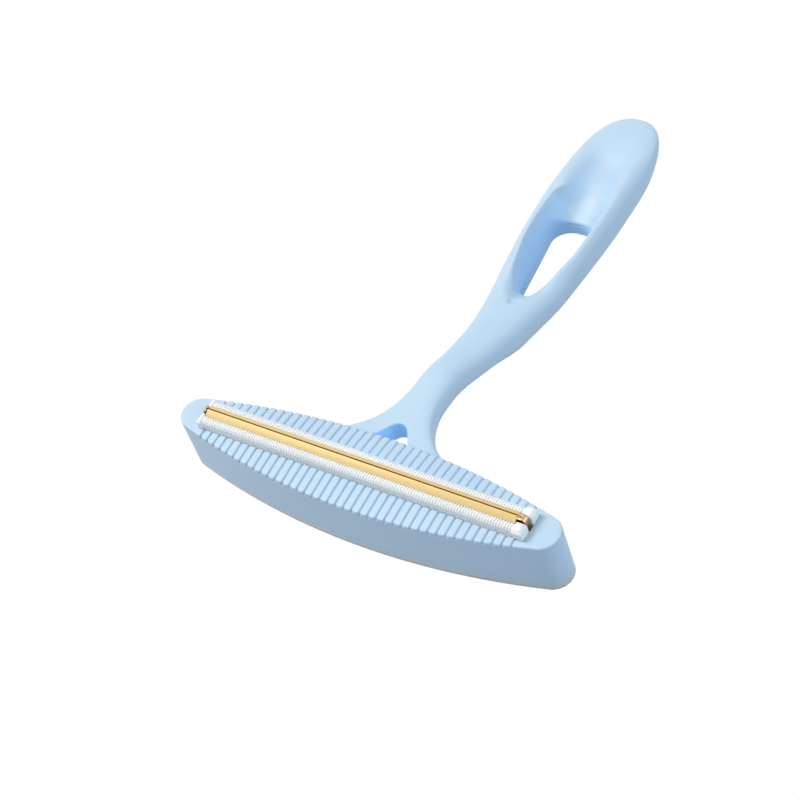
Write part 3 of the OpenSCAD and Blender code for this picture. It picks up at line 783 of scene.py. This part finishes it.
def mesh_of_field(field, low, high, step, settle=3):
    """Surface of a field as quads, one point a cell, then moved onto the surface."""
    axes = [np.arange(low[i], high[i] + step[i], step[i]) for i in range(3)]
    grid = field(axes[0][:, None, None], axes[1][None, :, None], axes[2][None, None, :])
    grid = np.broadcast_to(grid, [len(a) for a in axes])
    inside = grid < 0
    cells = [len(a) - 1 for a in axes]
    total = np.zeros(cells + [3])
    count = np.zeros(cells)
    crossings = []
    for axis in range(3):
        here = [slice(None)] * 3
        there = [slice(None)] * 3
        here[axis] = slice(0, -1)
        there[axis] = slice(1, None)
        cross = inside[tuple(here)] != inside[tuple(there)]
        at = np.argwhere(cross)
        a = grid[tuple(at.T)]
        ahead = at.copy()
        ahead[:, axis] += 1
        b = grid[tuple(ahead.T)]
        point = at.astype(float)
        point[:, axis] += a / (a - b)
        others = [i for i in range(3) if i != axis]
        for da in (0, 1):
            for db in (0, 1):
                cell = at.copy()
                cell[:, others[0]] -= da
                cell[:, others[1]] -= db
                good = np.all((cell >= 0) & (cell < cells), axis=1)
                key = tuple(cell[good].T)
                np.add.at(total, key, point[good])
                np.add.at(count, key, 1)
        crossings.append((axis, others, at, inside[tuple(at.T)]))
    used = count > 0
    index = np.full(cells, -1)
    index[used] = np.arange(used.sum())
    verts = total[used] / count[used][:, None]
    verts = verts * np.array(step) + np.array(low)
    faces = []
    for axis, others, at, starts_inside in crossings:
        corners = []
        for da, db in ((0, 0), (1, 0), (1, 1), (0, 1)):
            cell = at.copy()
            cell[:, others[0]] -= da
            cell[:, others[1]] -= db
            good = np.all((cell >= 0) & (cell < cells), axis=1)
            ids = np.full(len(at), -1)
            ids[good] = index[tuple(cell[good].T)]
            corners.append(ids)
        quads = np.stack(corners, axis=1)
        keep = np.all(quads >= 0, axis=1)
        flip = starts_inside if axis != 1 else ~starts_inside
        quads = np.where(flip[:, None], quads, quads[:, ::-1])
        faces.append(quads[keep])
    faces = np.concatenate(faces)
    limit = 0.6 * min(step)
    tiny = 0.01
    for _ in range(settle):
        x, y, z = verts.T
        value = field(x, y, z)
        slope = np.stack([(field(x + tiny, y, z) - value) / tiny,
                          (field(x, y + tiny, z) - value) / tiny,
                          (field(x, y, z + tiny) - value) / tiny], axis=1)
        size = np.maximum((slope ** 2).sum(axis=1), 1e-3)
        move = -0.8 * value[:, None] * slope / size[:, None]
        length = np.linalg.norm(move, axis=1, keepdims=True)
        verts = verts + move * np.minimum(1, limit / np.maximum(length, 1e-9))
    return verts, faces


FIELD_STEP = ((0.3, 0.42, 0.3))
# Box round the whole handle, with its root inside the head's rear wall
FIELD_LOW = (-29, 11.6, -6.5)
FIELD_HIGH = (29, 165, 17.6)


def make_front_shell():
    """Head shell with its seat and leg holes, and the upper half of the handle."""
    verts, faces = head_mesh()
    head = new_object("front_shell_head", verts, faces, blue_plastic)
    cut(head, block("seat", (-SEAT_HALF_L, -SEAT_HALF_W, SEAT_Z), (SEAT_HALF_L, SEAT_HALF_W, HEAD_H + 2)))
    for side in (-1, 1):
        x, half_l, half_w = side * LEG_X, LEG_HOLE[0] / 2, LEG_HOLE[1] / 2
        low = (x - half_l, -half_w, SEAT_Z - SEAT_FLOOR_T - 3)
        high = (x + half_l, half_w, SEAT_Z + 1)
        cut(head, block("leg_hole", low, high))
    soften(head, 40)
    verts, faces = mesh_of_field(front_half_field, FIELD_LOW, FIELD_HIGH, FIELD_STEP)
    handle = new_object("front_shell_handle", verts, faces, blue_plastic)
    mark_painted_bounce(handle, verts)
    for piece in (head, handle):
        stands_for(piece, "front_shell", "comb")


def make_back_shell():
    """Lower half of the handle."""
    verts, faces = mesh_of_field(back_half_field, FIELD_LOW, FIELD_HIGH, FIELD_STEP)
    piece = new_object("back_shell_finished", verts, faces, blue_plastic)
    mark_painted_bounce(piece, verts)
    stands_for(piece, "back_shell", "comb")


# The cartridge's ribbed guards

# Over one tooth pitch: share along it, share of the gap's depth
TOOTH_PROFILE = [(0.0, 1.0), (0.13, 1.0), (0.2, 0.75), (0.27, 0.2), (0.35, 0.0),
                 (0.65, 0.0), (0.73, 0.2), (0.8, 0.75), (0.87, 1.0)]


def guard_mesh():
    """One guard: an outline across the strip, repeated over the teeth along it."""
    tooth_n = int((GUARD_X1 - GUARD_X0) / TOOTH_PITCH) - 1
    first = (GUARD_X0 + GUARD_X1 - tooth_n * TOOTH_PITCH) / 2
    columns = [(GUARD_X0, 0.0)]
    for i in range(tooth_n):
        for share, depth in TOOTH_PROFILE:
            columns.append((first + (i + share) * TOOTH_PITCH, depth))
    columns.append((GUARD_X1, 0.0))
    bevel = GUARD_BEVEL
    # Outline points: y, z, and how much of the tooth gap's depth reaches them, inwards and down
    outline = [(GUARD_Y0, TRAY_Z1, 0, 0), (GUARD_Y1, TRAY_Z1, 0, 0), (GUARD_Y1, HEAD_H - 0.5, 0, 0),
               (GUARD_Y1, HEAD_H - 0.1, 0.45, 0), (GUARD_Y1, GUARD_Z1 - bevel - 0.4, 0.6, 0),
               (GUARD_Y1 - 0.03, GUARD_Z1 - bevel - 0.05, 0.7, 0.1),
               (GUARD_Y1 - 0.14, GUARD_Z1 - bevel + 0.14, 0.8, 0.5),
               (GUARD_Y1 - bevel * 0.7, GUARD_Z1 - bevel * 0.24, 0.6, 0.8),
               (GUARD_Y1 - bevel, GUARD_Z1 - 0.04, 0.2, 1), (GUARD_Y1 - bevel - 0.25, GUARD_Z1, 0, 1),
               (GUARD_Y0 + 0.12, GUARD_Z1, 0, 1), (GUARD_Y0 + 0.03, GUARD_Z1 - 0.04, 0, 1),
               (GUARD_Y0, GUARD_Z1 - 0.12, 0, 1)]
    verts = []
    for x, depth in columns:
        for y, z, inwards, down in outline:
            verts.append((x, y - inwards * depth * TOOTH_D, z - down * depth * TOOTH_D))
    n = len(outline)
    faces = []
    for i in range(len(columns) - 1):
        for j in range(n):
            a, b = i * n + j, i * n + (j + 1) % n
            faces.append((a, b, b + n, a + n))
    faces.append(list(range(n))[::-1])
    faces.append([(len(columns) - 1) * n + j for j in range(n)])
    return verts, faces


def make_guards():
    """The rear guard, and the front one as its mirror image."""
    verts, faces = guard_mesh()
    for name, side in (("rear_guard", 1), ("front_guard", -1)):
        placed = [(x, side * y, z) for x, y, z in verts]
        wound = faces if side < 0 else [face[::-1] for face in faces]
        piece = new_object(name + "_finished", placed, wound, white_plastic)
        soften(piece, 50)
        stands_for(piece, name, "cartridge")


def make_small_pieces():
    """The small hard pieces keep their CAD solid, with clean faces and rounded edges."""
    table = [("left_end_cap", white_plastic, 0.12, "guard_plastic"),
             ("right_end_cap", white_plastic, 0.12, "guard_plastic"),
             ("cartridge_tray", white_plastic, 0.12, "guard_plastic"),
             ("centre_bar", brass_metal, 0.05, "bar_brass"),
             ("front_blade_support", steel_metal, 0.05, "sheet_steel"),
             ("rear_blade_support", steel_metal, 0.05, "sheet_steel"),
             ("front_blade", gold_metal, 0.02, "blade_metal"),
             ("rear_blade", gold_metal, 0.02, "blade_metal"),
             ("left_clip", clip_metal, 0.06, "sheet_steel"),
             ("right_clip", clip_metal, 0.06, "sheet_steel")]
    for node, material, bevel, slot in table:
        piece = refined_copy(node, node + "_finished", material, bevel)
        stands_for(piece, node, "cartridge")


def make_base():
    """Base plate, adhesive sheet and lint pad under the head."""
    for node, material, bevel, slot in (("base_plate", plate_plastic, 0.15, "plate_plastic"),
                                        ("lint_pad", velour, 0.25, "lint_velour")):
        piece = refined_copy(node, node + "_finished", material, bevel)
        stands_for(piece, node, "comb")
    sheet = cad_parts["adhesive_sheet"]
    sheet.data.materials.clear()
    sheet.data.materials.append(film)


# Camera, floor and light

CAMERA_AT = (0.33021, -0.27477, 0.50598)
CAMERA_RIGHT = (0.82164536, 0.51466435, -0.24498879)
CAMERA_DOWN = (0.26717385, -0.7274055, -0.63205963)
CAMERA_AHEAD = (-0.50350475, 0.45387426, -0.73517421)
FOCAL_PX = 2301.72
PHOTO_W_PX = 800
SENSOR_W = 36
CAMERA_LENS = FOCAL_PX * SENSOR_W / PHOTO_W_PX


def make_camera():
    """Camera at the photo's place; its image axes are right, down and ahead."""
    data = bpy.data.cameras.new("photo_camera")
    data.sensor_width = SENSOR_W
    data.lens = CAMERA_LENS
    camera = bpy.data.objects.new("photo_camera", data)
    right, down, ahead = (Vector(v).normalized() for v in (CAMERA_RIGHT, CAMERA_DOWN, CAMERA_AHEAD))
    turn = Matrix((right, -down, -ahead)).transposed()
    camera.matrix_world = Matrix.Translation(CAMERA_AT) @ turn.to_4x4()
    bpy.context.scene.collection.objects.link(camera)
    bpy.context.scene.camera = camera


def rest_fall():
    """Slope of the plane that touches the pad's front edge and the belly of the grip."""
    belly = np.linspace(WAIST_Y, REACH - 1, 400)
    return float(np.min(handle_bottom(belly) / (belly + HEAD_HALF_W)))


def seen_ray(tree):
    """1 for camera, glossy and transmission rays, which see the background plain white."""
    path = tree.nodes.new("ShaderNodeLightPath")
    result = path.outputs["Is Camera Ray"]
    for kind in ("Is Glossy Ray", "Is Transmission Ray"):
        either = tree.nodes.new("ShaderNodeMath")
        either.operation = "MAXIMUM"
        tree.links.new(result, either.inputs[0])
        tree.links.new(path.outputs[kind], either.inputs[1])
        result = either.outputs[0]
    return result


FLOOR_BOUNCE = (0.4, 0.46, 0.54, 1)
WORLD_COLOR = (0.84, 0.92, 1.0, 1)
WORLD_STRENGTH = 0.42
WHITE = (1, 1, 1, 1)
FLOOR_REACH = 3000.0
FLOOR_GAP = 0.02


def make_floor():
    """White floor, tilted to touch the pad's front edge and the grip's belly."""
    material = bpy.data.materials.new("floor_white")
    material.use_nodes = True
    tree = material.node_tree
    tree.nodes.clear()
    output = tree.nodes.new("ShaderNodeOutputMaterial")
    diffuse = tree.nodes.new("ShaderNodeBsdfDiffuse")
    diffuse.inputs["Color"].default_value = FLOOR_BOUNCE
    glow = tree.nodes.new("ShaderNodeEmission")
    glow.inputs["Color"].default_value = WHITE
    glow.inputs["Strength"].default_value = 1.0
    mix = tree.nodes.new("ShaderNodeMixShader")
    tree.links.new(seen_ray(tree), mix.inputs["Fac"])
    tree.links.new(diffuse.outputs[0], mix.inputs[1])
    tree.links.new(glow.outputs[0], mix.inputs[2])
    tree.links.new(mix.outputs[0], output.inputs["Surface"])
    fall = rest_fall()
    corners = []
    for sx, sy in ((-1, -1), (1, -1), (1, 1), (-1, 1)):
        y = sy * FLOOR_REACH
        corners.append((sx * FLOOR_REACH, y, fall * (y + HEAD_HALF_W) - FLOOR_GAP))
    floor = new_object("floor", corners, [(0, 1, 2, 3)], material, smooth=False)


def make_world():
    """Soft sky light, white where it is seen."""
    world = bpy.data.worlds.new("studio")
    bpy.context.scene.world = world
    world.use_nodes = True
    tree = world.node_tree
    tree.nodes.clear()
    output = tree.nodes.new("ShaderNodeOutputWorld")
    soft = tree.nodes.new("ShaderNodeBackground")
    soft.inputs["Color"].default_value = WORLD_COLOR
    soft.inputs["Strength"].default_value = WORLD_STRENGTH
    white = tree.nodes.new("ShaderNodeBackground")
    white.inputs["Color"].default_value = WHITE
    white.inputs["Strength"].default_value = 1.0
    mix = tree.nodes.new("ShaderNodeMixShader")
    tree.links.new(seen_ray(tree), mix.inputs["Fac"])
    tree.links.new(soft.outputs[0], mix.inputs[1])
    tree.links.new(white.outputs[0], mix.inputs[2])
    tree.links.new(mix.outputs[0], output.inputs["Surface"])


# Name, place in metres, side in metres, power in watts, colour
LAMPS = [("key", (-1.6, -0.2, 2.2), 1.4, 53.0, (1.0, 0.99, 0.97)),
         ("fill", (0.2, -0.9, 0.7), 0.8, 0.5, (1, 1, 1)),
         ("glow", (1.7, 0.5, 0.8), 1.4, 12.0, (0.7, 0.86, 1.0))]
LAMP_AIM = (0.0, 0.05, 0.01)


def make_lamp(name, at, size, power, color):
    """A square area lamp turned towards the comb."""
    data = bpy.data.lights.new(name, "AREA")
    data.shape = "SQUARE"
    data.size = size
    data.energy = power
    data.color = color
    lamp = bpy.data.objects.new(name, data)
    direction = Vector(LAMP_AIM) - Vector(at)
    turn = direction.to_track_quat("-Z", "Y").to_matrix()
    lamp.matrix_world = Matrix.Translation(at) @ turn.to_4x4()
    bpy.context.scene.collection.objects.link(lamp)


def make_lights():
    """The studio's three lamps."""
    for name, at, size, power, color in LAMPS:
        make_lamp(name, at, size, power, color)


make_camera()
make_front_shell()
make_back_shell()
make_guards()
make_small_pieces()
make_base()
make_floor()
make_world()
make_lights()
bpy.context.scene.view_settings.view_transform = "Standard"
